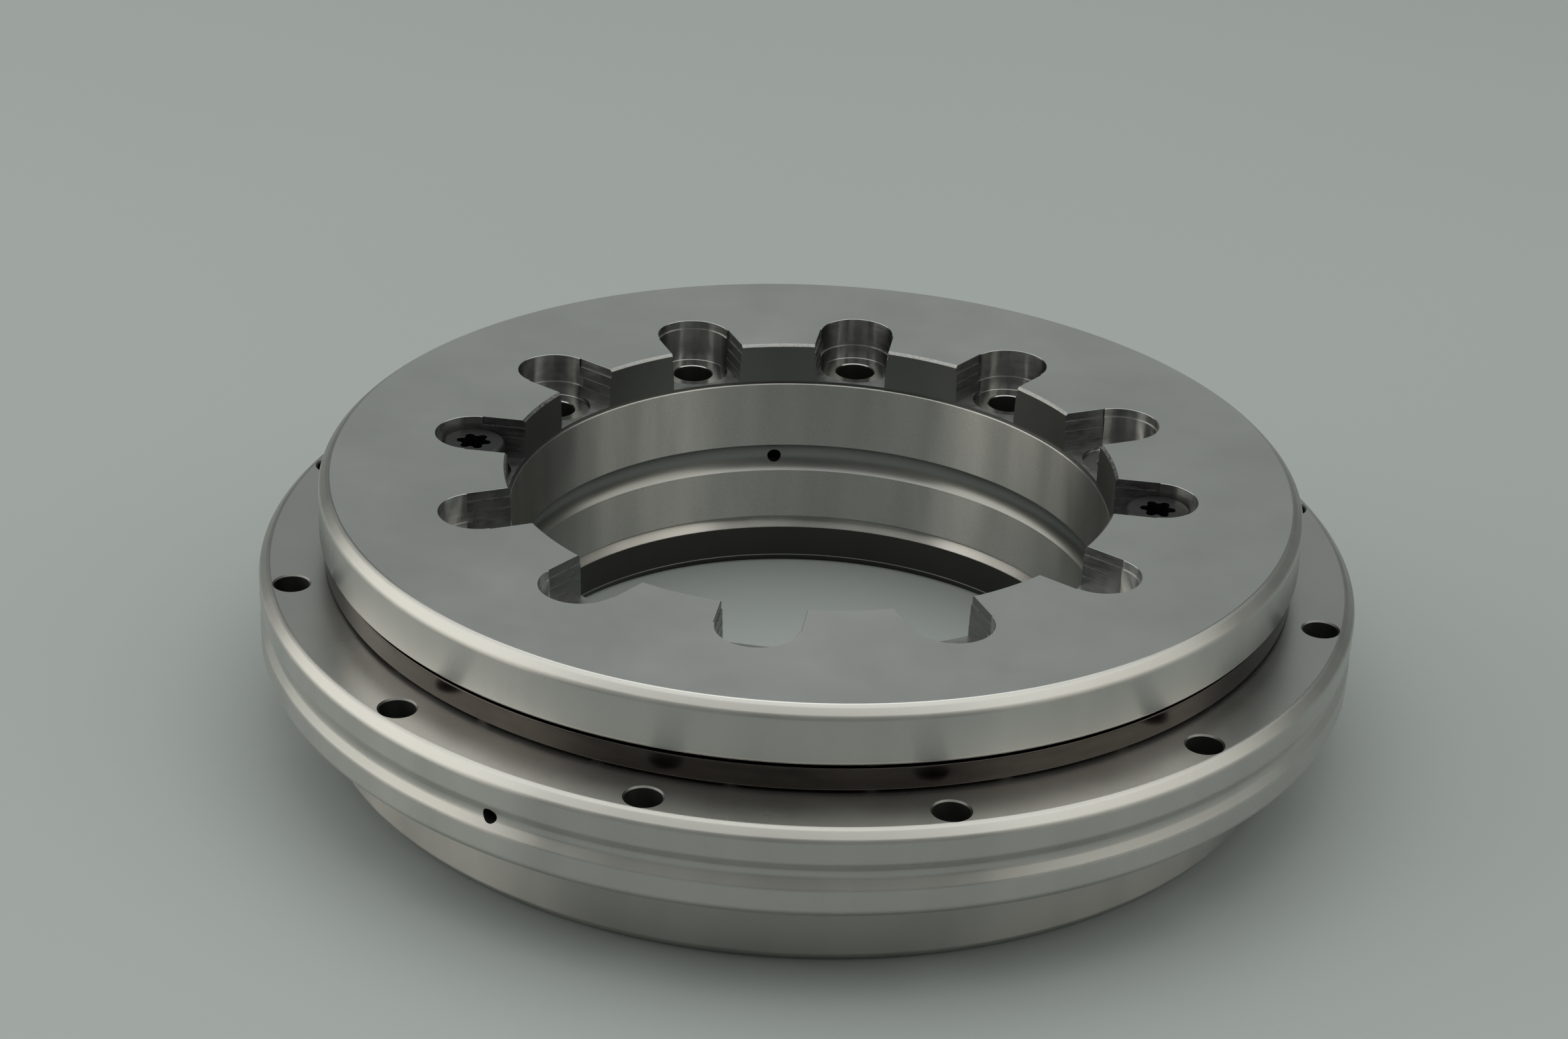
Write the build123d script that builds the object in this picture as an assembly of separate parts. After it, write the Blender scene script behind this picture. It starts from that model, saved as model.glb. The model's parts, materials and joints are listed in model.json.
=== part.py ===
from build123d import *
import os

# Axial/radial roller bearing for a rotary table, in millimetres.
# The axis is Z, the shaft washer stands on z = 0, and the two retaining screws lie over the X axis.
# These sizes add up to a bearing 146 across and 35 high, with 130 mm shaft rings and an 80 mm bore.

# Heights, from the floor up
washer_thickness = 7.35
outer_ring_height = 12.0
flange_thickness = 7.65

# Radial build-up, from the bore outwards
bore_d = 80.0
sleeve_wall = 11.5            # ground bore to inner raceway
flange_overhang = 13.5        # upper flange and shaft washer beyond the inner raceway
outer_ring_wall = 16.3        # outer raceway to housing seat

# Rollers
axial_roller_d = 3.8
axial_roller_count = 24       # in each of the two rows
radial_roller_d = 5.0
radial_roller_count = 24
running_gap = 0.1             # between a roller and each of its raceways

# Cages
axial_cage_thickness = 3.0
axial_cage_inset = 0.6        # cage rim inside the edge of the flange
axial_cage_rim = 1.2          # cage beyond the outer ends of the rollers
axial_cage_guide_gap = 0.2    # cage bore to sleeve
raceway_margin = 0.5          # outer raceway's edge to the inner ends of the axial rollers
radial_cage_thickness = 2.2
radial_cage_bar = 1.3         # cage above and below the radial rollers
radial_cage_end_gap = 0.4     # cage inside the faces of the outer ring
pocket_gap = 0.15             # all round a roller in its pocket

# Screw slots in the upper flange, and the bolt holes below them
slot_count = 12
fixing_hole_d = 5.6
fixing_hole_inset = 6.0       # hole centres outside the ground bore
counterbore_d = 10.0
counterbore_depth = 6.1
slot_width = 10.3             # milled mouth from the counterbore to the bore
slot_depth = 5.65

# Bolt holes in the outer ring
flange_hole_count = 12
flange_hole_d = 4.6
flange_hole_inset = 4.0       # hole centres inside the housing seat
flange_hole_turn = 22.2       # resting angle of the first hole, in degrees

# Retaining screws
screw_count = 2
screw_d = 5.0
screw_head_d = 8.5
screw_head_height = 4.8
screw_socket_d = 3.4          # across the root circle of the six-lobed socket
screw_lobe_d = 1.3
screw_socket_depth = 2.6
screw_point_gap = 0.8         # screw end to the washer's lower face
thread_gap = 0.05             # screw to tapped hole

# Edges
ring_chamfer = 1.2            # outer edges that show
back_chamfer = 0.5            # outer edges that face a cage
bore_chamfer = 0.4
face_chamfer = 0.35           # inner edge of the upper face
bore_edge_break = 0.12        # upper edge of the ground bore
washer_lead_rise = 1.7        # upper edge inside the washer, down the bore
washer_lead_flare = 1.0       # the same edge, on the radius
washer_foot_rise = 1.1        # lower edge inside the washer, up the bore
washer_foot_flare = 0.6       # the same edge, on the radius
relief_step = 0.45            # turned relief at both ends of the ground bore, on the radius
relief_overrun = 0.3          # upper relief below the floor of the slots

# Oil grooves and oil holes
bore_groove_width = 4.1
bore_groove_depth = 0.8
bore_groove_rise = 9.9        # groove's middle above the washer
bore_oil_hole_place = 3.5     # counted in slots from the first
rim_groove_width = 3.7
rim_groove_depth = 1.0
rim_groove_drop = 6.0         # groove's middle below the outer ring's upper face
rim_oil_hole_place = 7.5      # counted in flange holes from the first
oil_hole_d = 2.0

# Heights and radii that follow from the sizes above
axial_gap = axial_roller_d + 2 * running_gap
outer_bottom = washer_thickness + axial_gap
outer_top = outer_bottom + outer_ring_height
flange_bottom = outer_top + axial_gap
top = flange_bottom + flange_thickness
slot_floor = top - slot_depth
counterbore_floor = top - counterbore_depth
bore_r = bore_d / 2
fixing_hole_r = bore_r + fixing_hole_inset
inner_raceway_r = bore_r + sleeve_wall
flange_r = inner_raceway_r + flange_overhang
outer_raceway_r = inner_raceway_r + radial_roller_d + 2 * running_gap
outer_r = outer_raceway_r + outer_ring_wall
flange_hole_r = outer_r - flange_hole_inset
slot_pitch = 360 / slot_count
flange_hole_pitch = 360 / flange_hole_count
screw_slots = [index * (slot_count // screw_count) for index in range(screw_count)]


def turned(points):
    """Solid turned about Z from a closed outline of (radius, height) points."""
    outline = Polyline(*[(radius, 0, height) for radius, height in points], close=True)
    return revolve(make_face(outline), Axis.Z)


def tube(inner, outer, low, high):
    """Plain ring between two radii and two heights."""
    return turned([(inner, low), (outer, low), (outer, high), (inner, high)])


def upright(diameter, low, high):
    """Round bar standing on the axis between two heights."""
    return Pos(0, 0, low) * Cylinder(diameter / 2, high - low, align=(Align.CENTER, Align.CENTER, Align.MIN))


def round_groove(radius, height, width, depth):
    """Cutter for a shallow groove with a round floor, running round inside a bore."""
    low, high = (radius, 0, height - width / 2), (radius, 0, height + width / 2)
    floor = ThreePointArc(low, (radius + depth, 0, height), high)
    back = Polyline(high, (radius - depth, 0, height), low)
    return revolve(make_face(floor.edges() + back.edges()), Axis.Z)


def on_circle(piece, radius, angle):
    """Piece moved out along X and then turned about Z."""
    return Rot(0, 0, angle) * Pos(radius, 0, 0) * piece


def radial_drill(height, angle, inner, outer):
    """Level oil hole pointing out from the axis."""
    drill = Cylinder(oil_hole_d / 2, outer - inner, align=(Align.CENTER, Align.CENTER, Align.MIN))
    return Rot(0, 0, angle) * Pos(inner, 0, height) * Rot(0, 90, 0) * drill


def ring_of(piece, count):
    """Group of like solids spread evenly about Z."""
    return Compound(children=[Rot(0, 0, index * 360 / count) * piece for index in range(count)])


def make_outer_ring():
    """Flanged ring: bolt holes through it, and an oil groove and oil hole in its rim."""
    groove_z = outer_top - rim_groove_drop
    half_width = rim_groove_width / 2
    ring = turned([
        (outer_raceway_r, outer_bottom),
        (outer_r - ring_chamfer, outer_bottom),
        (outer_r, outer_bottom + ring_chamfer),
        (outer_r, groove_z - half_width),
        (outer_r - rim_groove_depth, groove_z),
        (outer_r, groove_z + half_width),
        (outer_r, outer_top - ring_chamfer),
        (outer_r - ring_chamfer, outer_top),
        (outer_raceway_r, outer_top),
    ])
    hole = upright(flange_hole_d, outer_bottom, outer_top)
    for index in range(flange_hole_count):
        ring -= on_circle(hole, flange_hole_r, flange_hole_turn + index * flange_hole_pitch)
    oil_angle = flange_hole_turn + rim_oil_hole_place * flange_hole_pitch
    return ring - radial_drill(groove_z, oil_angle, bore_r, outer_r)


def make_slot_cutter():
    """Screw slot over the X axis: bolt hole, counterbore, and the mouth milled open to the bore."""
    hole = upright(fixing_hole_d, 0, counterbore_floor)
    counterbore = upright(counterbore_d, counterbore_floor, top)
    mouth = Pos(0, 0, slot_floor) * Box(
        fixing_hole_r, slot_width, slot_depth, align=(Align.MIN, Align.CENTER, Align.MIN)
    )
    return on_circle(hole + counterbore, fixing_hole_r, 0) + mouth


def make_slotted_ring():
    """L-section ring: the slotted upper flange, and the sleeve with the ground bore."""
    groove_z = washer_thickness + bore_groove_rise
    relief_r = bore_r + relief_step
    relief_floor = slot_floor - relief_overrun
    ring = turned([
        (bore_r + bore_chamfer, washer_thickness),
        (inner_raceway_r, washer_thickness),
        (inner_raceway_r, flange_bottom),
        (flange_r - back_chamfer, flange_bottom),
        (flange_r, flange_bottom + back_chamfer),
        (flange_r, top - ring_chamfer),
        (flange_r - ring_chamfer, top),
        (relief_r + face_chamfer, top),
        (relief_r, top - face_chamfer),
        (relief_r, relief_floor),
        (bore_r + bore_edge_break, relief_floor),
        (bore_r, relief_floor - bore_edge_break),
        (bore_r, washer_thickness + bore_chamfer),
    ])
    ring -= round_groove(bore_r, groove_z, bore_groove_width, bore_groove_depth)
    cutter = make_slot_cutter()
    for index in range(slot_count):
        ring -= Rot(0, 0, index * slot_pitch) * cutter
    return ring - radial_drill(groove_z, bore_oil_hole_place * slot_pitch, 0, inner_raceway_r)


def make_shaft_washer():
    """Lower ring: bolt holes below the slots, and tapped holes below the retaining screws."""
    washer_bore_r = bore_r + relief_step
    ring = turned([
        (washer_bore_r, washer_foot_rise),
        (washer_bore_r + washer_foot_flare, 0),
        (flange_r - ring_chamfer, 0),
        (flange_r, ring_chamfer),
        (flange_r, washer_thickness - back_chamfer),
        (flange_r - back_chamfer, washer_thickness),
        (washer_bore_r + washer_lead_flare, washer_thickness),
        (washer_bore_r, washer_thickness - washer_lead_rise),
    ])
    for index in range(slot_count):
        diameter = screw_d + 2 * thread_gap if index in screw_slots else fixing_hole_d
        ring -= on_circle(upright(diameter, 0, washer_thickness), fixing_hole_r, index * slot_pitch)
    return ring


def make_axial_row(raceway_z):
    """Flat cage and its rollers, lying like spokes, in the gap above a raceway face."""
    middle = raceway_z + axial_gap / 2
    cage_outer = flange_r - axial_cage_inset
    cage = tube(
        inner_raceway_r + axial_cage_guide_gap,
        cage_outer,
        middle - axial_cage_thickness / 2,
        middle + axial_cage_thickness / 2,
    )
    outer_end = cage_outer - axial_cage_rim
    inner_end = outer_raceway_r + raceway_margin
    length = outer_end - inner_end
    place = Pos((inner_end + outer_end) / 2, 0, middle)
    roller = place * Rot(0, 90, 0) * Cylinder(axial_roller_d / 2, length)
    pocket = place * Box(
        length + 2 * pocket_gap, axial_roller_d + 2 * pocket_gap, axial_cage_thickness
    )
    for index in range(axial_roller_count):
        cage -= Rot(0, 0, index * 360 / axial_roller_count) * pocket
    return cage, ring_of(roller, axial_roller_count)


def make_radial_row():
    """Drum-shaped cage and its upright rollers, between the sleeve and the outer ring."""
    low = outer_bottom + radial_cage_end_gap
    high = outer_top - radial_cage_end_gap
    pitch_r = (inner_raceway_r + outer_raceway_r) / 2
    cage = tube(pitch_r - radial_cage_thickness / 2, pitch_r + radial_cage_thickness / 2, low, high)
    window_height = high - low - 2 * radial_cage_bar
    place = Pos(pitch_r, 0, (low + high) / 2)
    roller = place * Cylinder(radial_roller_d / 2, window_height - 2 * pocket_gap)
    window = place * Box(radial_roller_d, radial_roller_d + 2 * pocket_gap, window_height)
    for index in range(radial_roller_count):
        cage -= Rot(0, 0, index * 360 / radial_roller_count) * window
    return cage, ring_of(roller, radial_roller_count)


def make_retaining_screws():
    """Socket screws from the counterbores down into the washer, threads left plain."""
    head_top = counterbore_floor + screw_head_height
    head = upright(screw_head_d, counterbore_floor, head_top)
    shank = upright(screw_d, screw_point_gap, counterbore_floor)
    socket_floor = head_top - screw_socket_depth
    lobe = upright(screw_lobe_d, socket_floor, head_top)
    screw = head + shank - upright(screw_socket_d, socket_floor, head_top)
    for angle in range(0, 360, 60):
        screw -= on_circle(lobe, screw_socket_d / 2, angle)
    return Compound(children=[
        on_circle(screw, fixing_hole_r, index * slot_pitch) for index in screw_slots
    ])


upper_cage, upper_axial_rollers = make_axial_row(outer_top)
lower_cage, lower_axial_rollers = make_axial_row(washer_thickness)
radial_cage, radial_rollers = make_radial_row()
pieces = {
    "outer_ring": make_outer_ring(),
    "slotted_ring": make_slotted_ring(),
    "shaft_washer": make_shaft_washer(),
    "upper_cage": upper_cage,
    "upper_axial_rollers": upper_axial_rollers,
    "lower_cage": lower_cage,
    "lower_axial_rollers": lower_axial_rollers,
    "radial_cage": radial_cage,
    "radial_rollers": radial_rollers,
    "retaining_screws": make_retaining_screws(),
}
os.makedirs("parts", exist_ok=True)
for name, piece in pieces.items():
    export_step(piece, f"parts/{name}.step")
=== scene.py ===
import json
from math import asin, cos, hypot, pi, radians, sin, tau

import bmesh
import bpy
from mathutils import Matrix, Vector


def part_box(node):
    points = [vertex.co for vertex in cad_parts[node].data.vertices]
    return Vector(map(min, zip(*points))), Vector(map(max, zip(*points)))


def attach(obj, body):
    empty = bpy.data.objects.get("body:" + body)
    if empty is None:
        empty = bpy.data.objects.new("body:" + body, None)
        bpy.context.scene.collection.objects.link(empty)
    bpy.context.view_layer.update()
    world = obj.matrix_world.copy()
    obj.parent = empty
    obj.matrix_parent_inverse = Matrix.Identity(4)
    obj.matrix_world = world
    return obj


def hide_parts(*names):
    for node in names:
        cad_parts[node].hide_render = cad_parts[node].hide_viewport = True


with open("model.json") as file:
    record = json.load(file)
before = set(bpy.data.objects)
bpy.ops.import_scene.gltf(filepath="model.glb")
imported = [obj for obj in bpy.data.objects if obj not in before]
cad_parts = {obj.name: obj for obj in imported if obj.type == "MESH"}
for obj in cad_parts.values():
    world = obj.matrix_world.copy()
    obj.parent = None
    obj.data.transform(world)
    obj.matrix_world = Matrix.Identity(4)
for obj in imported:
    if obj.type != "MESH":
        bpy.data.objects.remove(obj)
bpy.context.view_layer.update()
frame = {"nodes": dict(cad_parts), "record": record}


# Shaft washer: the lower ring that the bearing stands on, clamped to the slotted ring by the screws.
# Hardened bearing steel, turned and then ground. The holes for the shaft's screws are drilled through
# it, and two more are tapped for the retaining screws.
mm = 0.001
mounts = {mount["name"]: mount["dims"] for mount in frame["record"]["mounts"]}
bore_r = mounts["shaft_bore"]["r_mm"]
shaft_hole_r = mounts["shaft_bolts_on_y"]["hole_r_mm"]
shaft_hole_circle_r = mounts["shaft_bolts_on_y"]["spacing_y_mm"] / 2
slot_count = 12
slot_pitch = 360 / slot_count
screw_count = 2
free_holes_between_screws = 5
tapped_hole_r = 2.55
hole_rim = 0.2
flange_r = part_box("shaft_washer")[1].x / mm
washer_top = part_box("shaft_washer")[1].z / mm
relief_step = 0.45
relief_r = bore_r + relief_step
edge_chamfer = 1.2
edge_round = 0.4
back_chamfer = 0.5
back_round = 0.15
lead_rise = 1.7
lead_flare = 1.0
foot_rise = 1.1
foot_flare = 0.6
bore_corner_round = 0.1


def linear(hex_colour):
    """Linear colour of an sRGB hex value such as #c8c8c4."""
    shares = [int(hex_colour[start:start + 2], 16) / 255 for start in (1, 3, 5)]
    return [s / 12.92 if s <= 0.04045 else ((s + 0.055) / 1.055) ** 2.4 for s in shares] + [1.0]


def add(tree, kind, inputs, **settings):
    """Adds a node; each input is a value, or the socket that feeds it."""
    node = tree.nodes.new(kind)
    for name, value in settings.items():
        setattr(node, name, value)
    for name, value in inputs.items():
        if isinstance(value, bpy.types.NodeSocket):
            tree.links.new(value, node.inputs[name])
        else:
            node.inputs[name].default_value = value
    return node


def new_finish(name, metallic):
    """New material, with its node tree, its shader and the piece's own coordinates."""
    material = bpy.data.materials.new(name)
    material.use_nodes = True
    tree = material.node_tree
    shader = tree.nodes["Principled BSDF"]
    shader.inputs["Metallic"].default_value = metallic
    position = add(tree, "ShaderNodeTexCoord", {}).outputs["Object"]
    return material, tree, shader, position


# Nearly all of a noise pattern lies between these two values.
noise_low = 0.3
noise_high = 0.7
# Turned by this share of a circle, reflections are drawn out across the lay and not along it.
quarter_turn = 0.25


def ground_steel(name, colour, dark_colour, roughness, lay_stretch, cloud_mm,
                 lay_depth_mm=0.0003, grain=0.2):
    """Bearing steel with the round lay of turning or grinding, and faint clouds of tone and roughness drawn
    out upright, whose tone paints soft reflection bands on the walls.

    The lay draws every reflection out across it. The real one is a few hundredths of a millimetre
    wide; it is drawn coarser so that it shows. Height counts for more than radius in it, because
    on a chamfer the two would cancel out.
    """
    lay_mm = 0.25
    lay_drift = 2.4
    height_to_radius = 1.6
    painted_streak_height_share = 0.2
    speck_mm = 0.25
    mean_noise = 0.5
    roughness_spread = 0.07
    material, tree, shader, position = new_finish(name, metallic=1.0)
    flat = add(tree, "ShaderNodeVectorMath", {0: position, 1: (1, 1, 0)}, operation="MULTIPLY")
    outward = add(tree, "ShaderNodeVectorMath", {0: flat.outputs[0]}, operation="NORMALIZE")
    radius = add(tree, "ShaderNodeVectorMath", {0: flat.outputs[0]}, operation="LENGTH")
    split = add(tree, "ShaderNodeSeparateXYZ", {0: position})
    across = add(tree, "ShaderNodeMath",
                 {0: split.outputs["Z"], 1: height_to_radius, 2: radius.outputs["Value"]},
                 operation="MULTIPLY_ADD")
    tracks = add(tree, "ShaderNodeMath", {0: across.outputs[0], 1: 1 / (lay_mm * mm)}, operation="MULTIPLY")
    upward = add(tree, "ShaderNodeCombineXYZ", {"Z": tracks.outputs[0]})
    lay_position = add(tree, "ShaderNodeVectorMath",
                       {0: outward.outputs[0], 1: (lay_drift, lay_drift, lay_drift), 2: upward.outputs[0]},
                       operation="MULTIPLY_ADD")
    lay = add(tree, "ShaderNodeTexNoise", {"Vector": lay_position.outputs[0], "Scale": 1.0, "Detail": 3.0})
    # Painted reflection: the clouds are drawn out upright, so on the walls their tone lies in soft upright
    # streaks like reflection bands.
    drawn_up_into_painted_streaks = add(tree, "ShaderNodeVectorMath", {0: position, 1: (1, 1, painted_streak_height_share)},
                   operation="MULTIPLY")
    clouds_and_painted_streaks = add(tree, "ShaderNodeTexNoise",
                 {"Vector": drawn_up_into_painted_streaks.outputs[0], "Scale": 1 / (cloud_mm * mm), "Detail": 3.0})
    specks = add(tree, "ShaderNodeTexNoise",
                 {"Vector": position, "Scale": 1 / (speck_mm * mm), "Detail": 2.0})
    level_specks = add(tree, "ShaderNodeMath", {0: specks.outputs["Fac"], 1: mean_noise},
                       operation="SUBTRACT")
    speckled = add(tree, "ShaderNodeMath", {0: level_specks.outputs[0], 1: grain, 2: clouds_and_painted_streaks.outputs["Fac"]},
                   operation="MULTIPLY_ADD")
    shade = add(tree, "ShaderNodeMix",
                {"Factor": speckled.outputs[0], "A": linear(dark_colour), "B": linear(colour)},
                data_type="RGBA")
    tree.links.new(shade.outputs["Result"], shader.inputs["Base Color"])
    rough = add(tree, "ShaderNodeMapRange",
                {"Value": clouds_and_painted_streaks.outputs["Fac"], "From Min": noise_low, "From Max": noise_high,
                 "To Min": roughness * (1 - roughness_spread), "To Max": roughness * (1 + roughness_spread)})
    tree.links.new(rough.outputs["Result"], shader.inputs["Roughness"])
    bump = add(tree, "ShaderNodeBump", {"Height": lay.outputs["Fac"], "Distance": lay_depth_mm * mm})
    tree.links.new(bump.outputs["Normal"], shader.inputs["Normal"])
    around = add(tree, "ShaderNodeVectorMath", {0: (0, 0, 1), 1: outward.outputs[0]},
                 operation="CROSS_PRODUCT")
    tree.links.new(around.outputs[0], shader.inputs["Tangent"])
    shader.inputs["Anisotropic"].default_value = lay_stretch
    shader.inputs["Anisotropic Rotation"].default_value = quarter_turn
    return material


# Ground walls: bright, with soft streaks of light that run far up and down.
ground_side = ground_steel("ground_steel_side", "#c6c5c1", "#afaeaa",
                           roughness=0.28, lay_stretch=0.90, cloud_mm=9.0)
# The washer's own wall is ground more coarsely, so its streaks are wider and paler.
ground_foot = ground_steel("ground_steel_foot", "#c8c7c3", "#b0afab",
                           roughness=0.40, lay_stretch=0.90, cloud_mm=9.0)
# Finely turned faces: a satin sheen that fans out from the axis.
turned_face = ground_steel("turned_steel_face", "#cacac6", "#b6b6b2",
                           roughness=0.28, lay_stretch=0.70, cloud_mm=14.0, lay_depth_mm=0.00015)
# The ground bore: softly streaked, with painted reflection bands in its tone, and finely speckled.
ground_bore = ground_steel("ground_steel_bore", "#c0c0bc", "#a0a09c",
                           roughness=0.36, lay_stretch=1.0, cloud_mm=5.0, grain=0.8)
# Turned chamfers: a duller, more even light than the walls beside them.
turned_edge = ground_steel("turned_steel_edge", "#c1c1bc", "#adada9",
                           roughness=0.40, lay_stretch=0.60, cloud_mm=9.0)
# Skin left from hardening, under oil: dark, brownish grey. On the washer's foot the same colour is painted
# shade, the contact shadow where the washer stands on the floor.
dark_skin_and_painted_shade = ground_steel("oiled_unground_steel", "#4e4d49", "#454440",
                          roughness=0.30, lay_stretch=0.5, cloud_mm=9.0)
# Walls of drilled holes: dull grey.
drilled = ground_steel("drilled_steel", "#7d7e7b", "#6c6d6a",
                       roughness=0.38, lay_stretch=0.3, cloud_mm=4.0)

lathe_steps = 360
rounding_steps = 6
seam_gap = 1e-5


def turn(outline, steps=lathe_steps):
    """Shape turned about Z from (radius, height, rounding) corners, in millimetres."""
    shape = bmesh.new()
    corners = [shape.verts.new((radius, 0, height)) for radius, height, rounding in outline]
    shape.faces.new(corners)
    for size in sorted({rounding for radius, height, rounding in outline if rounding}):
        chosen = [vert for vert, corner in zip(corners, outline) if corner[2] == size]
        bmesh.ops.bevel(shape, geom=chosen, offset=size, affect="VERTICES", segments=rounding_steps,
                        profile=0.5, material=-1)
    bmesh.ops.delete(shape, geom=shape.faces[:], context="FACES_ONLY")
    on_axis = [edge for edge in shape.edges if all(vert.co.x == 0 for vert in edge.verts)]
    bmesh.ops.delete(shape, geom=on_axis, context="EDGES")
    bmesh.ops.spin(shape, geom=shape.verts[:] + shape.edges[:], cent=(0, 0, 0), axis=(0, 0, 1), angle=tau,
                   steps=steps, use_merge=True)
    bmesh.ops.remove_doubles(shape, verts=shape.verts, dist=seam_gap)
    bmesh.ops.recalc_face_normals(shape, faces=shape.faces)
    return shape


def spread(shape, radius, angle, count, pitch=None):
    """Moves a shape out along X, turns it, and repeats it about Z, evenly or at a pitch in degrees."""
    pitch = pitch or 360 / count
    bmesh.ops.translate(shape, vec=(radius, 0, 0), verts=shape.verts)
    bmesh.ops.rotate(shape, matrix=Matrix.Rotation(radians(angle), 3, "Z"), verts=shape.verts)
    if count > 1:
        whole = shape.verts[:] + shape.edges[:] + shape.faces[:]
        bmesh.ops.spin(shape, geom=whole, cent=(0, 0, 0), axis=(0, 0, 1),
                       angle=radians(pitch * (count - 1)), steps=count - 1, use_duplicate=True)
    return shape


drill_overrun = 1.0
hole_steps = 64


def drill(radius, low, high):
    """Through drill that leaves a small chamfer on both rims of its hole."""
    flare = radius + hole_rim + drill_overrun
    return turn([
        (0, low - drill_overrun, 0),
        (flare, low - drill_overrun, 0),
        (radius, low + hole_rim, 0),
        (radius, high - hole_rim, 0),
        (flare, high + drill_overrun, 0),
        (0, high + drill_overrun, 0),
    ], hole_steps)


def place(name, shape, *finishes):
    """Object with that shape, still in millimetres."""
    mesh = bpy.data.meshes.new(name)
    shape.to_mesh(mesh)
    shape.free()
    for finish in finishes:
        mesh.materials.append(finish)
    made = bpy.data.objects.new(name, mesh)
    bpy.context.scene.collection.objects.link(made)
    return made


# A face counts as flat, or as a sloping edge, when its normal stands more upright than this.
flat_face = 0.95
sloping_edge = 0.3
# Bands in the bore reach this far outside the relief.
band_reach = 0.8


def finish_round(piece, side, flat, inside, edge, bands=()):
    """Finishes a turned piece's side, flat faces, inside and edges, and bands of its bore by height."""
    finishes = list(dict.fromkeys([side, flat, inside, edge] + [finish for low, high, finish in bands]))
    for finish in finishes:
        piece.data.materials.append(finish)
    for polygon in piece.data.polygons:
        upright = abs(polygon.normal.z)
        outward = polygon.normal.x * polygon.center.x + polygon.normal.y * polygon.center.y
        chosen = side
        if upright > flat_face:
            chosen = flat
        elif outward < 0:
            chosen = inside
        elif upright > sloping_edge:
            chosen = edge
        if hypot(polygon.center.x, polygon.center.y) < relief_r + band_reach:
            for low, high, finish in bands:
                if low < polygon.center.z < high:
                    chosen = finish
        polygon.material_index = finishes.index(chosen)


def settle(piece):
    """Keeps what the piece's modifiers make as its own mesh."""
    graph = bpy.context.evaluated_depsgraph_get()
    mesh = bpy.data.meshes.new_from_object(piece.evaluated_get(graph), depsgraph=graph)
    piece.modifiers.clear()
    piece.data = mesh


# A cut leaves points closer than this, which are joined so that the mesh stays closed.
weld = 0.002


def cut(piece, tool):
    """Takes the tool's shape out of the piece, leaves the tool's finish on the cut and welds it."""
    boolean = piece.modifiers.new("cut", "BOOLEAN")
    boolean.object = tool
    boolean.operation = "DIFFERENCE"
    boolean.solver = "EXACT"
    boolean.material_mode = "TRANSFER"
    settle(piece)
    bpy.data.objects.remove(tool)
    shape = bmesh.new()
    shape.from_mesh(piece.data)
    bmesh.ops.remove_doubles(shape, verts=shape.verts, dist=weld)
    bmesh.ops.dissolve_degenerate(shape, edges=shape.edges, dist=weld)
    shape.to_mesh(piece.data)
    shape.free()


sharp_angle = 20


def fit(piece, body, slot, *nodes):
    """Brings a finished piece to metres, smooths its round faces and sets it on its body."""
    piece.data.transform(Matrix.Scale(mm, 4))
    piece.data.shade_smooth()
    piece.data.set_sharp_from_angle(angle=radians(sharp_angle))
    weighted = piece.modifiers.new("flat faces stay flat", "WEIGHTED_NORMAL")
    weighted.keep_sharp = True
    settle(piece)
    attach(piece, body)
    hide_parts(*nodes)


shaft_washer = place("shaft_washer_ring", turn([
    (relief_r, foot_rise, bore_corner_round),
    (relief_r + foot_flare, 0, bore_corner_round),
    (flange_r - edge_chamfer, 0, edge_round),
    (flange_r, edge_chamfer, edge_round),
    (flange_r, washer_top - back_chamfer, back_round),
    (flange_r - back_chamfer, washer_top, back_round),
    (relief_r + lead_flare, washer_top, bore_corner_round),
    (relief_r, washer_top - lead_rise, bore_corner_round),
]))
# The rounded corner above the foot's flare stays bright between two dark bands: painted contact shade on the
# flare below it, the dark skin of the bore above it.
bright_corner = 0.08
foot_margin = 0.02
face_margin = 0.01
finish_round(shaft_washer, ground_foot, turned_face, ground_bore, turned_edge, [
    # Painted shade: the flare of the foot is coloured dark for the contact shadow at the floor.
    (foot_margin, foot_rise - bright_corner, dark_skin_and_painted_shade),
    (foot_rise + bright_corner, washer_top - lead_rise, dark_skin_and_painted_shade),
    (washer_top - lead_rise, washer_top - face_margin, ground_side),
])
taps = drill(tapped_hole_r, 0, washer_top)
cut(shaft_washer, place("taps", spread(taps, shaft_hole_circle_r, 0, screw_count), drilled))
for first_angle in (slot_pitch, 180 + slot_pitch):
    drills = spread(drill(shaft_hole_r, 0, washer_top), shaft_hole_circle_r, first_angle,
                    free_holes_between_screws, slot_pitch)
    cut(shaft_washer, place("drills", drills, drilled))
fit(shaft_washer, "rotor", "ring_steel", "shaft_washer")


# Lower cage: the flat ring that keeps the lower axial rollers apart, like spokes.
# Machined brass gone brown and dull under oil, with a pocket milled for each roller. It lies loose
# between the rings and goes round with its rollers.
cage_bore_r = 51.7
cage_rim = 1.2
cage_edge = 0.2
pocket_inner_r = 57.05
pocket_width = 4.1
pocket_gap = 0.15
axial_roller_count = 24


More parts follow.
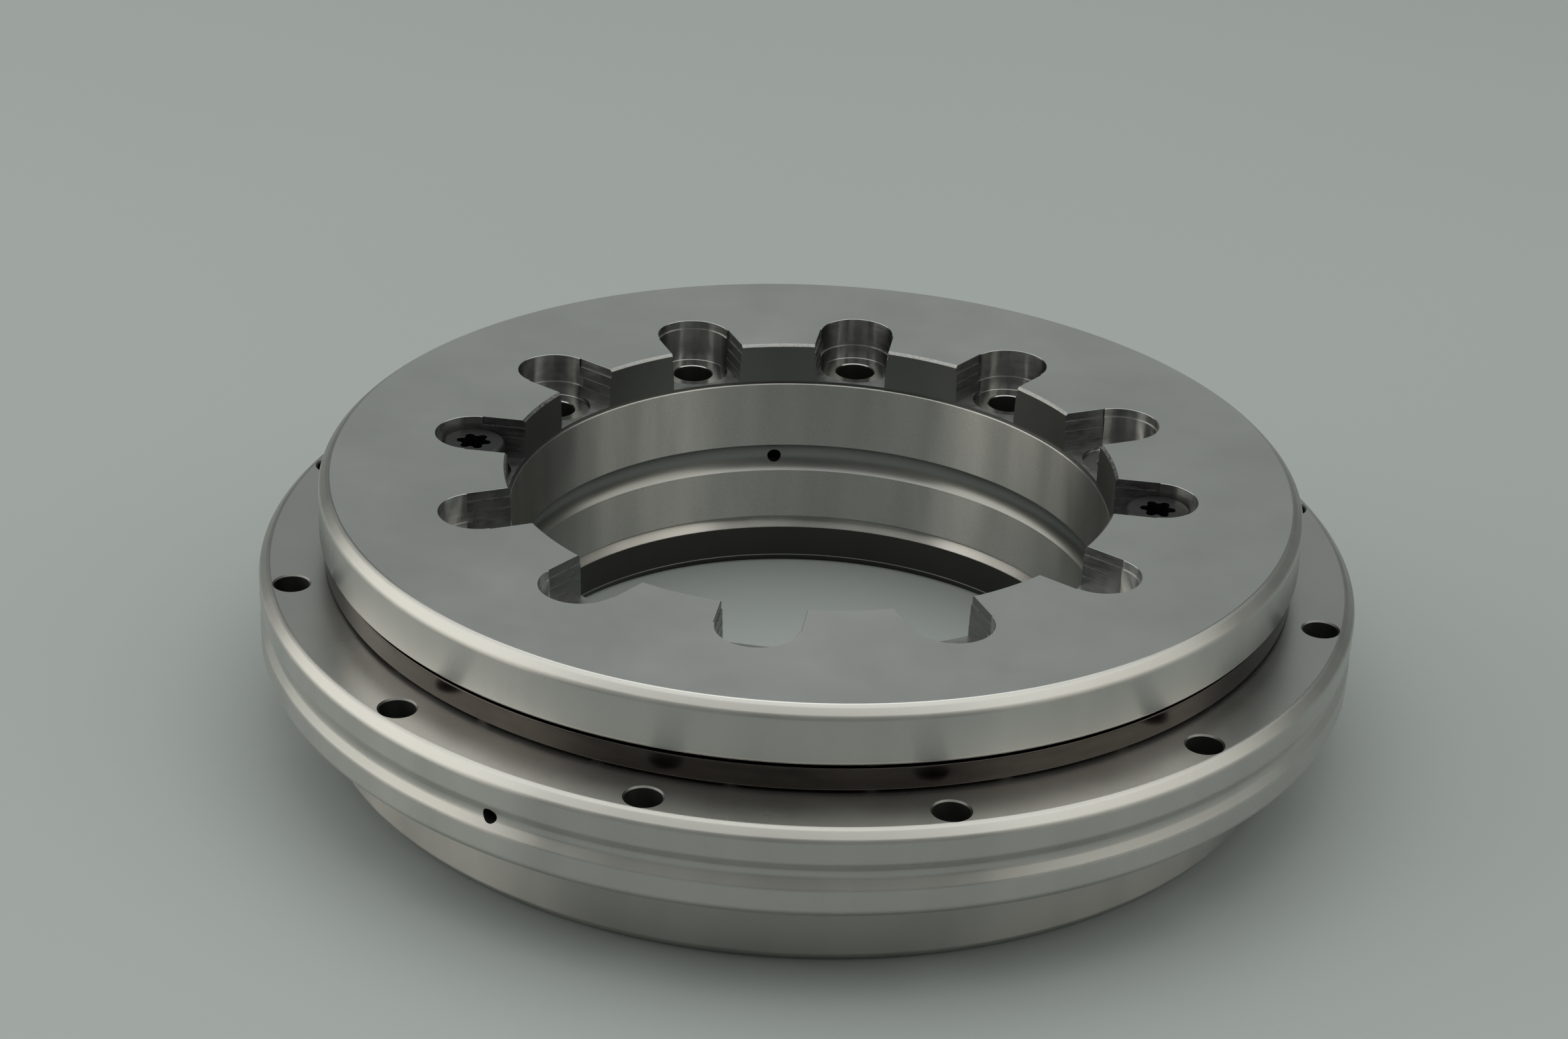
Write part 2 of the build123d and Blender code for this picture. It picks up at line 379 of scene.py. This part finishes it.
def oiled_brass(name):
    """Machined brass, brown with oil: a dull warm metal with darker smears along the turning."""
    smear_mm = 6.0
    smear_flatness = 5
    material, tree, shader, position = new_finish(name, metallic=1.0)
    squeeze = add(tree, "ShaderNodeVectorMath", {0: position, 1: (1, 1, smear_flatness)},
                  operation="MULTIPLY")
    smears = add(tree, "ShaderNodeTexNoise",
                 {"Vector": squeeze.outputs[0], "Scale": 1 / (smear_mm * mm), "Detail": 5.0})
    shade = add(tree, "ShaderNodeMix",
                {"Factor": smears.outputs["Fac"], "A": linear("#3f3b39"), "B": linear("#5c5753")},
                data_type="RGBA")
    tree.links.new(shade.outputs["Result"], shader.inputs["Base Color"])
    rough = add(tree, "ShaderNodeMapRange", {"Value": smears.outputs["Fac"], "To Min": 0.16, "To Max": 0.28})
    tree.links.new(rough.outputs["Result"], shader.inputs["Roughness"])
    return material


brass = oiled_brass("oiled_brass")


def make_cage(node, body):
    """Flat cage in the place of its CAD solid, with a pocket for each roller."""
    low, high = (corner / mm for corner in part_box(node))
    cage = place(node + "_ring", turn([
        (cage_bore_r, low.z, cage_edge),
        (high.x, low.z, cage_edge),
        (high.x, high.z, cage_edge),
        (cage_bore_r, high.z, cage_edge),
    ]), brass)
    pocket_outer_r = high.x - cage_rim + pocket_gap
    pocket_length = pocket_outer_r - pocket_inner_r
    pocket_height = high.z - low.z + 2 * drill_overrun
    pocket = bmesh.new()
    bmesh.ops.create_cube(pocket, size=1.0)
    bmesh.ops.scale(pocket, vec=(pocket_length, pocket_width, pocket_height), verts=pocket.verts)
    bmesh.ops.translate(pocket, vec=(0, 0, (low.z + high.z) / 2), verts=pocket.verts)
    pocket_middle_r = (pocket_inner_r + pocket_outer_r) / 2
    cut(cage, place("pockets", spread(pocket, pocket_middle_r, 0, axial_roller_count), brass))
    fit(cage, body, "cage_brass", node)


make_cage("lower_cage", "lower_row")


# Rollers of all three rows and the drum cage of the radial row: closed in between the rings.
# The rollers are ground and polished bearing steel, and the drum is the same oiled brass as the flat
# cages. Nothing holds them but the raceways and the pockets of the cages.

# Polished rollers: close to a mirror, with only a faint lay.
polished = ground_steel("polished_roller_steel", "#d6d6d2", "#cfcfca",
                        roughness=0.14, lay_stretch=0.3, cloud_mm=4.0)
for node, finish in {
    "lower_axial_rollers": polished,
    "radial_rollers": polished,
    "upper_axial_rollers": polished,
    "radial_cage": brass,
}.items():
    for material_slot in frame["nodes"][node].material_slots:
        material_slot.material = finish


# Outer ring: the flanged ring that is bolted to the housing through twelve plain holes.
# Bearing steel, turned and ground, with an oil groove turned round its rim and one oil hole drilled
# from that groove to the radial rollers.
outer_r = mounts["housing_seat"]["r_mm"]
flange_hole_r = mounts["housing_bolts"]["hole_r_mm"]
flange_hole_circle_r = mounts["housing_bolts"]["pcd_mm"] / 2
flange_hole_count = mounts["housing_bolts"]["count"]
flange_hole_turn = 22.2
outer_bottom, outer_top = (corner.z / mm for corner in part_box("outer_ring"))
outer_raceway_r = 56.7
raceway_round = 0.3
rim_groove_drop = 6.0
rim_groove_z = outer_top - rim_groove_drop
rim_groove_half = 1.85
rim_groove_depth = 1.0
rim_groove_lip_round = 0.25
rim_groove_floor_round = 0.8
oil_hole_r = 1.0
oil_hole_steps = 48
oil_drill_overrun = 3.0
holes_to_rim_oil_hole = 7.5
rim_oil_hole_turn = flange_hole_turn + holes_to_rim_oil_hole * 360 / flange_hole_count


def oil_drill(inner, outer, height, angle):
    """Level drill from one radius to another."""
    shape = bmesh.new()
    bmesh.ops.create_cone(shape, cap_ends=True, segments=oil_hole_steps, radius1=oil_hole_r,
                          radius2=oil_hole_r, depth=outer - inner)
    bmesh.ops.rotate(shape, matrix=Matrix.Rotation(pi / 2, 3, "Y"), verts=shape.verts)
    bmesh.ops.translate(shape, vec=(0, 0, height), verts=shape.verts)
    return spread(shape, (inner + outer) / 2, angle, 1)


outer_ring = place("outer_ring_flange", turn([
    (outer_raceway_r, outer_bottom, raceway_round),
    (outer_r - edge_chamfer, outer_bottom, edge_round),
    (outer_r, outer_bottom + edge_chamfer, edge_round),
    (outer_r, rim_groove_z - rim_groove_half, rim_groove_lip_round),
    (outer_r - rim_groove_depth, rim_groove_z, rim_groove_floor_round),
    (outer_r, rim_groove_z + rim_groove_half, rim_groove_lip_round),
    (outer_r, outer_top - edge_chamfer, edge_round),
    (outer_r - edge_chamfer, outer_top, edge_round),
    (outer_raceway_r, outer_top, raceway_round),
]))
finish_round(outer_ring, ground_side, turned_face, ground_bore, turned_edge)
flange_drills = spread(drill(flange_hole_r, outer_bottom, outer_top), flange_hole_circle_r,
                       flange_hole_turn, flange_hole_count)
cut(outer_ring, place("drills", flange_drills, drilled))
rim_oil_drill = oil_drill(outer_raceway_r - oil_drill_overrun, outer_r + oil_drill_overrun, rim_groove_z,
                          rim_oil_hole_turn)
cut(outer_ring, place("oil_drill", rim_oil_drill, drilled))
fit(outer_ring, "outer_ring", "ring_steel", "outer_ring")


# Upper cage: the twin of the lower one, made in the same way of the same oiled brass.
# It lies with its rollers on the outer ring, and its rim shows as a brown band under the slotted ring.
make_cage("upper_cage", "upper_row")


# Slotted ring: the L-shaped inner ring, with the ground bore below and the slotted flange above.
# Bearing steel, turned and ground. Each of its twelve slots is a counterbored screw hole whose mouth
# was milled open to the bore in a few passes, which left steps and feed marks on its walls.
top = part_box("slotted_ring")[1].z / mm
cage_clearance = 0.5
flange_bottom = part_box("upper_cage")[1].z / mm + cage_clearance
inner_raceway_r = 51.5
inner_raceway_round = 0.2
inner_chamfer = 0.4
inner_chamfer_round = 0.05
top_edge_round = 0.45
face_chamfer = 0.35
face_chamfer_round = 0.06
bore_edge_break = 0.12
bore_edge_round = 0.02
slot_depth = 5.65
slot_floor = top - slot_depth
slot_rim = 0.05
relief_below_slots = 0.3
relief_floor = slot_floor - relief_below_slots
counterbore_r = 5.0
counterbore_depth = 6.1
counterbore_floor = top - counterbore_depth
counterbore_step = 0.15
counterbore_corner_round = 0.08
hole_edge = 0.12
# How deep the wider start of each counterbore goes, slot by slot.
ledge_depths = (4.1, 1.25, 4.1, 4.1, 1.25, 4.1, 4.1, 4.1, 1.25, 4.1, 4.1, 1.25)
drill_steps = 96
mouth_half = 5.04
# How deep each pass of the mill went, and how far it stands back from the next.
pass_depths = (1.25, 2.7, 4.2)
pass_steps = (0.18, 0.07, 0.05)
cutter_reach = 5.0
cutter_start_r = bore_r - cutter_reach
bore_groove_rise = 9.9
bore_groove_z = washer_top + bore_groove_rise
bore_groove_half = 2.05
bore_groove_depth = 0.8
groove_steps = 16
slots_to_bore_oil_hole = 3.5
bore_oil_hole_turn = slots_to_bore_oil_hole * slot_pitch

# The ground upper face: the brightest steel, smooth, with broad faint clouds.
ground_face = ground_steel("ground_steel_face", "#d6d7d4", "#b8b9b6",
                           roughness=0.20, lay_stretch=0.50, cloud_mm=14.0)
# The relief above the bore keeps the grey skin of hardening, duller than the ground bore.
hardened = ground_steel("hardened_unground_steel", "#7c7d7a", "#6e6f6c",
                        roughness=0.34, lay_stretch=0.5, cloud_mm=9.0)
# The turned groove: a mid grey band between the bright halves of the bore.
turned_groove = ground_steel("turned_steel_groove", "#969794", "#878885",
                             roughness=0.32, lay_stretch=0.5, cloud_mm=9.0)


def milled_steel(name, colour, dark_colour, roughness, unevenness, lay_stretch, mark_mm, mark_depth_mm):
    """Steel from an end mill or a boring tool, with level feed marks and reflections drawn up and down.

    The tool leaves marks about a tenth of a millimetre apart; all but the burrs are drawn coarser so
    that they show. The bright flecks of the burrs are painted glints. A level face has no level direction
    of its own, so a small nudge gives it one.
    """
    mark_length = 4
    nudge = 0.01
    material, tree, shader, position = new_finish(name, metallic=1.0)
    marks_across = 1 / (mark_mm * mm)
    marks_along = marks_across / mark_length
    stretch = add(tree, "ShaderNodeVectorMath", {0: position, 1: (marks_along, marks_along, marks_across)},
                  operation="MULTIPLY")
    marks = add(tree, "ShaderNodeTexNoise",
                {"Vector": stretch.outputs[0], "Scale": 1.0, "Detail": 4.0, "Roughness": 0.6})
    shade = add(tree, "ShaderNodeMix",
                {"Factor": marks.outputs["Fac"], "A": linear(dark_colour), "B": linear(colour)},
                data_type="RGBA")
    tree.links.new(shade.outputs["Result"], shader.inputs["Base Color"])
    rough = add(tree, "ShaderNodeMapRange",
                {"Value": marks.outputs["Fac"], "From Min": noise_low, "From Max": noise_high,
                 "To Min": roughness * (1 - unevenness), "To Max": roughness * (1 + unevenness)})
    tree.links.new(rough.outputs["Result"], shader.inputs["Roughness"])
    bump = add(tree, "ShaderNodeBump", {"Height": marks.outputs["Fac"], "Distance": mark_depth_mm * mm})
    tree.links.new(bump.outputs["Normal"], shader.inputs["Normal"])
    facing = add(tree, "ShaderNodeNewGeometry", {}).outputs["True Normal"]
    level = add(tree, "ShaderNodeVectorMath", {0: facing, 1: (0, 0, 1)}, operation="CROSS_PRODUCT")
    never_none = add(tree, "ShaderNodeVectorMath", {0: level.outputs[0], 1: (nudge, 0, 0)}, operation="ADD")
    tree.links.new(never_none.outputs[0], shader.inputs["Tangent"])
    shader.inputs["Anisotropic"].default_value = lay_stretch
    shader.inputs["Anisotropic Rotation"].default_value = quarter_turn
    return material


# Milled walls of the mouths: dark grey, with rough level marks.
milled = milled_steel("milled_slot_steel", "#8a8c8c", "#6c6e6e",
                      roughness=0.34, unevenness=0.2, lay_stretch=0.6, mark_mm=0.5, mark_depth_mm=0.012)
# Bored walls of the counterbores: bright, with clean upright streaks.
bored = milled_steel("bored_counterbore_steel", "#c0c1bf", "#b4b5b3",
                     roughness=0.20, unevenness=0.04, lay_stretch=1.0, mark_mm=0.4, mark_depth_mm=0.0002)
# The wall above a counterbore's ledge was torn a little by the tool: the same streaks, but mottled.
torn = milled_steel("torn_counterbore_steel", "#babbb9", "#8e8f8d",
                    roughness=0.22, unevenness=0.1, lay_stretch=1.0, mark_mm=0.6, mark_depth_mm=0.001)
# Spot-faced floors: smooth and mid grey, like a dull mirror.
spot_faced = milled_steel("spot_faced_steel", "#a2a3a1", "#949593",
                          roughness=0.17, unevenness=0.05, lay_stretch=0.0, mark_mm=0.4,
                          mark_depth_mm=0.0002)
# Burred edges and ledges: dark flecks of real burrs, and bright flecks that are painted glints.
burrs_and_painted_glints = milled_steel("burred_edge_steel", "#b8b9b7", "#3a3b3a",
                      roughness=0.34, unevenness=0.4, lay_stretch=0.0, mark_mm=0.12, mark_depth_mm=0.02)

groove_r = (bore_groove_half ** 2 + bore_groove_depth ** 2) / (2 * bore_groove_depth)
groove_lip = asin(bore_groove_half / groove_r)
groove = []
for groove_step in range(groove_steps + 1):
    slope = groove_lip * (1 - 2 * groove_step / groove_steps)
    depth_here = bore_groove_depth - groove_r * (1 - cos(slope))
    groove.append((bore_r + depth_here, bore_groove_z + groove_r * sin(slope), 0))
slotted_ring = place("slotted_inner_ring", turn([
    (bore_r + inner_chamfer, washer_top, inner_chamfer_round),
    (inner_raceway_r, washer_top, inner_raceway_round),
    (inner_raceway_r, flange_bottom, inner_raceway_round),
    (flange_r - back_chamfer, flange_bottom, back_round),
    (flange_r, flange_bottom + back_chamfer, back_round),
    (flange_r, top - edge_chamfer, top_edge_round),
    (flange_r - edge_chamfer, top, top_edge_round),
    (relief_r + face_chamfer, top, face_chamfer_round),
    (relief_r, top - face_chamfer, face_chamfer_round),
    (relief_r, relief_floor, 0),
    (bore_r + bore_edge_break, relief_floor, bore_edge_round),
    (bore_r, relief_floor - bore_edge_break, bore_edge_round),
    *groove,
    (bore_r, washer_top + inner_chamfer, inner_chamfer_round),
]))
finish_round(slotted_ring, ground_side, ground_face, ground_bore, turned_edge, [
    (relief_floor - face_margin, top - face_chamfer, hardened),
    (bore_groove_z - bore_groove_half, bore_groove_z + bore_groove_half, turned_groove),
    # The inner top chamfer: burrs, with bright flecks that are painted glints.
    (top - face_chamfer, top - face_margin, burrs_and_painted_glints),
])

# The mouth's cutter grows wider at each pass, from the floor up, and leaves burrs on its ledges, whose
# bright flecks are painted glints.
on_ledge = 1
mouth_side = [(mouth_half, slot_floor)]
for pass_depth, pass_step in zip(reversed(pass_depths), reversed(pass_steps)):
    reached = mouth_side[-1][0]
    mouth_side += [(reached, top - pass_depth), (reached + pass_step, top - pass_depth)]
widest = mouth_side[-1][0]
mouth_side += [(widest, top - slot_rim), (widest + drill_overrun, top - slot_rim + drill_overrun)]
mouth = bmesh.new()
corners = [mouth.verts.new((0, y, z)) for y, z in mouth_side]
corners += [mouth.verts.new((0, -y, z)) for y, z in reversed(mouth_side)]
section = mouth.faces.new(corners)
reach = bmesh.ops.extrude_face_region(mouth, geom=[section])["geom"]
moved = [item for item in reach if isinstance(item, bmesh.types.BMVert)]
bmesh.ops.translate(mouth, vec=(shaft_hole_circle_r - cutter_start_r, 0, 0), verts=moved)
bmesh.ops.recalc_face_normals(mouth, faces=mouth.faces)
for face in mouth.faces:
    if abs(face.normal.z) > flat_face and face.calc_center_median().z > slot_floor + face_margin:
        face.material_index = on_ledge
cut(slotted_ring, place("mouths", spread(mouth, cutter_start_r, 0, slot_count), milled, burrs_and_painted_glints))

# Each stepped drill leaves a bored wall, with other finishes in the hole, on the floor and above the
# ledge. It is turned by half a step, so that no corner of it falls on the end of the mouth.
in_hole = 1
on_floor = 2
above_ledge = 3
stepped_drills = bmesh.new()
for number, ledge_depth in enumerate(ledge_depths):
    stepped_drill = turn([
        (0, washer_top - drill_overrun, 0),
        (shaft_hole_r, washer_top - drill_overrun, 0),
        (shaft_hole_r, counterbore_floor - hole_edge, 0),
        (shaft_hole_r + hole_edge, counterbore_floor, 0),
        (counterbore_r, counterbore_floor, counterbore_corner_round),
        (counterbore_r, top - ledge_depth, 0),
        (counterbore_r + counterbore_step, top - ledge_depth, 0),
        (counterbore_r + counterbore_step, top - slot_rim, 0),
        (counterbore_r + counterbore_step + drill_overrun, top - slot_rim + drill_overrun, 0),
        (0, top - slot_rim + drill_overrun, 0),
    ], drill_steps)
    for face in stepped_drill.faces:
        middle = face.calc_center_median()
        if hypot(middle.x, middle.y) < shaft_hole_r:
            face.material_index = in_hole
        elif middle.z < counterbore_floor + face_margin:
            face.material_index = on_floor
        elif middle.z > top - ledge_depth + face_margin:
            face.material_index = above_ledge
    half_step = Matrix.Rotation(pi / drill_steps, 3, "Z")
    bmesh.ops.rotate(stepped_drill, matrix=half_step, verts=stepped_drill.verts)
    spread(stepped_drill, shaft_hole_circle_r, number * slot_pitch, 1)
    single = bpy.data.meshes.new("stepped_drill")
    stepped_drill.to_mesh(single)
    stepped_drill.free()
    stepped_drills.from_mesh(single)
    bpy.data.meshes.remove(single)
cut(slotted_ring, place("stepped_drills", stepped_drills, bored, drilled, spot_faced, torn))
bore_oil_drill = oil_drill(cutter_start_r, inner_raceway_r + oil_drill_overrun, bore_groove_z,
                           bore_oil_hole_turn)
cut(slotted_ring, place("oil_drill", bore_oil_drill, drilled))
fit(slotted_ring, "rotor", "ring_steel", "slotted_ring")


# Retaining screws: two socket screws, in opposite slots, that hold the slotted ring and the washer
# together. Blackened steel, cold formed, with a six-lobed socket. Their threads are hidden in the
# washer, so the shanks are plain.
screw_r = 2.5
point_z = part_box("retaining_screws")[0].z / mm
point_round = 0.5
neck_round = 0.1
head_r = 4.25
head_height = 4.8
head_top = counterbore_floor + head_height
head_foot_round = 0.15
head_top_round = 0.5
screw_steps = 96
socket_r = 1.7
socket_depth = 2.6
socket_steps = 72
lobe_count = 6
lobe_r = 0.65
lobe_depth = 2.5
lobe_steps = 32


def blackened_steel(name):
    """Black oxide on steel: dark grey, satin, a little lighter where it was handled.

    The real grain is too fine to see; it is drawn coarser so that it shows.
    """
    grain_mm = 0.4
    grain_depth_mm = 0.01
    material, tree, shader, position = new_finish(name, metallic=1.0)
    grain = add(tree, "ShaderNodeTexNoise",
                {"Vector": position, "Scale": 1 / (grain_mm * mm), "Detail": 3.0})
    shade = add(tree, "ShaderNodeMix",
                {"Factor": grain.outputs["Fac"], "A": linear("#2b2c2c"), "B": linear("#474848")},
                data_type="RGBA")
    tree.links.new(shade.outputs["Result"], shader.inputs["Base Color"])
    bump = add(tree, "ShaderNodeBump", {"Height": grain.outputs["Fac"], "Distance": grain_depth_mm * mm})
    tree.links.new(bump.outputs["Normal"], shader.inputs["Normal"])
    shader.inputs["Roughness"].default_value = 0.38
    return material


blackened = blackened_steel("blackened_screw_steel")


def socket_punch(radius, depth, steps):
    """Round punch that goes down into the head from above it."""
    return turn([
        (0, head_top - depth, 0),
        (radius, head_top - depth, 0),
        (radius, head_top + drill_overrun, 0),
        (0, head_top + drill_overrun, 0),
    ], steps)


screws = place("retaining_socket_screws", spread(turn([
    (0, point_z, 0),
    (screw_r, point_z, point_round),
    (screw_r, counterbore_floor, neck_round),
    (head_r, counterbore_floor, head_foot_round),
    (head_r, head_top, head_top_round),
    (0, head_top, 0),
], screw_steps), shaft_hole_circle_r, 0, screw_count), blackened)
socket = socket_punch(socket_r, socket_depth, socket_steps)
cut(screws, place("socket", spread(socket, shaft_hole_circle_r, 0, screw_count), blackened))
lobes = spread(socket_punch(lobe_r, lobe_depth, lobe_steps), socket_r, 0, lobe_count)
cut(screws, place("lobes", spread(lobes, shaft_hole_circle_r, 0, screw_count), blackened))
fit(screws, "rotor", "screw_steel", "retaining_screws")


# Floor: the plain pale grey board that the bearing stands on.
# Painted board, far larger than the view, so that none of its edge shows.
floor_r = 4.0
floor_steps = 96


def painted_board(name):
    """Matt pale grey paint with a faint unevenness of tone."""
    tone_mm = 350.0
    material, tree, shader, position = new_finish(name, metallic=0.0)
    tone = add(tree, "ShaderNodeTexNoise", {"Vector": position, "Scale": 1 / (tone_mm * mm), "Detail": 2.0})
    shade = add(tree, "ShaderNodeMix",
                {"Factor": tone.outputs["Fac"], "A": linear("#979e9d"), "B": linear("#9ea5a4")},
                data_type="RGBA")
    tree.links.new(shade.outputs["Result"], shader.inputs["Base Color"])
    shader.inputs["Roughness"].default_value = 0.6
    shader.inputs["Specular IOR Level"].default_value = 0.3
    return material


board = bmesh.new()
bmesh.ops.create_circle(board, cap_ends=True, segments=floor_steps, radius=floor_r)
floor = place("floor", board, painted_board("pale_board"))


# Light: a large soft panel overhead, a panel on the left and a weaker, raised one on the right.
# The room around them is dim grey, darker on the camera's side, and a few dark strips of its walls
# give the steel the darker stretches between its highlights.
scene = bpy.context.scene
scene.view_settings.view_transform = "Standard"
middle_of_bearing = (0, 0, 0.02)


def softbox(name, stand, aim, width, height, watts, colour):
    """Soft rectangular panel facing a point, in metres."""
    lamp = bpy.data.lights.new(name, "AREA")
    lamp.shape = "RECTANGLE"
    lamp.size = width
    lamp.size_y = height
    lamp.energy = watts
    lamp.color = linear(colour)[:3]
    panel = bpy.data.objects.new(name, lamp)
    panel.location = stand
    panel.rotation_euler = (Vector(aim) - Vector(stand)).to_track_quat("-Z", "Y").to_euler()
    scene.collection.objects.link(panel)


softbox("overhead_panel", stand=(-0.1, 0.035, 0.85), aim=(-0.1, 0.035, 0),
        width=1.8, height=1.39, watts=9.8, colour="#fffefa")
softbox("left_panel", stand=(-0.95, -0.12, 0.385), aim=middle_of_bearing,
        width=1.28, height=0.70, watts=4.0, colour="#fffaf1")
softbox("right_panel", stand=(0.892, -0.133, 0.56), aim=middle_of_bearing,
        width=1.05, height=0.64, watts=1.9, colour="#fff9ee")

# Heading, half width and soft edge of each dark strip of the room in degrees, and its dimmed share.
dark_strips = ((-50, 4, 4, 0.4), (-129, 4, 3, 0.4), (-85, 4, 8, 0.5), (52, 20, 12, 0.4), (132, 14, 8, 0.4))
front_end = -0.6
back_end = 0.5
room = bpy.data.worlds.new("studio_room")
room.use_nodes = True
scene.world = room
sky = room.node_tree
direction = add(sky, "ShaderNodeTexCoord", {}).outputs["Generated"]
compass = add(sky, "ShaderNodeSeparateXYZ", {0: direction})
behind = add(sky, "ShaderNodeMapRange",
             {"Value": compass.outputs["Y"], "From Min": front_end, "From Max": back_end},
             interpolation_type="SMOOTHSTEP")
walls = add(sky, "ShaderNodeMix",
            {"Factor": behind.outputs["Result"], "A": linear("#7e7f7c"), "B": linear("#9b9f9d")},
            data_type="RGBA")
heading = add(sky, "ShaderNodeMath", {0: compass.outputs["Y"], 1: compass.outputs["X"]}, operation="ARCTAN2")
strength = 1.0
for centre, half_width, soft_edge, dimmed in dark_strips:
    off_centre = add(sky, "ShaderNodeMath", {0: heading.outputs[0], 1: radians(centre)},
                     operation="SUBTRACT")
    beside = add(sky, "ShaderNodeMath", {0: off_centre.outputs[0]}, operation="ABSOLUTE")
    open_wall = add(sky, "ShaderNodeMapRange",
                    {"Value": beside.outputs[0], "From Min": radians(half_width),
                     "From Max": radians(half_width + soft_edge), "To Min": dimmed},
                    interpolation_type="SMOOTHSTEP")
    dimming = add(sky, "ShaderNodeMath", {0: open_wall.outputs["Result"], 1: strength}, operation="MULTIPLY")
    strength = dimming.outputs[0]
sky.links.new(walls.outputs["Result"], sky.nodes["Background"].inputs["Color"])
sky.links.new(strength, sky.nodes["Background"].inputs["Strength"])


# Camera: a short telephoto view from the front, looking down at the bearing a little from its right.
# Its turn, tilt, roll and distance were fitted to the bearing's bolt circles and outer edges.
camera_turn = 7.6
camera_tilt = 26.404
camera_roll = 2.3836
aim_in_view = (0.0031352, -0.0062851, -0.4301547)
lens_mm = 73.2
sensor_mm = 36.0
near_clip = 0.01
lens = bpy.data.cameras.new("camera")
lens.lens = lens_mm
lens.sensor_width = sensor_mm
lens.sensor_fit = "HORIZONTAL"
lens.clip_start = near_clip
camera = bpy.data.objects.new("camera", lens)
camera.matrix_world = (
    Matrix.Translation(middle_of_bearing)
    @ Matrix.Rotation(radians(camera_turn), 4, "Z")
    @ Matrix.Rotation(radians(90 - camera_tilt), 4, "X")
    @ Matrix.Rotation(radians(camera_roll), 4, "Z")
    @ Matrix.Translation(-Vector(aim_in_view))
)
scene.collection.objects.link(camera)
scene.camera = camera
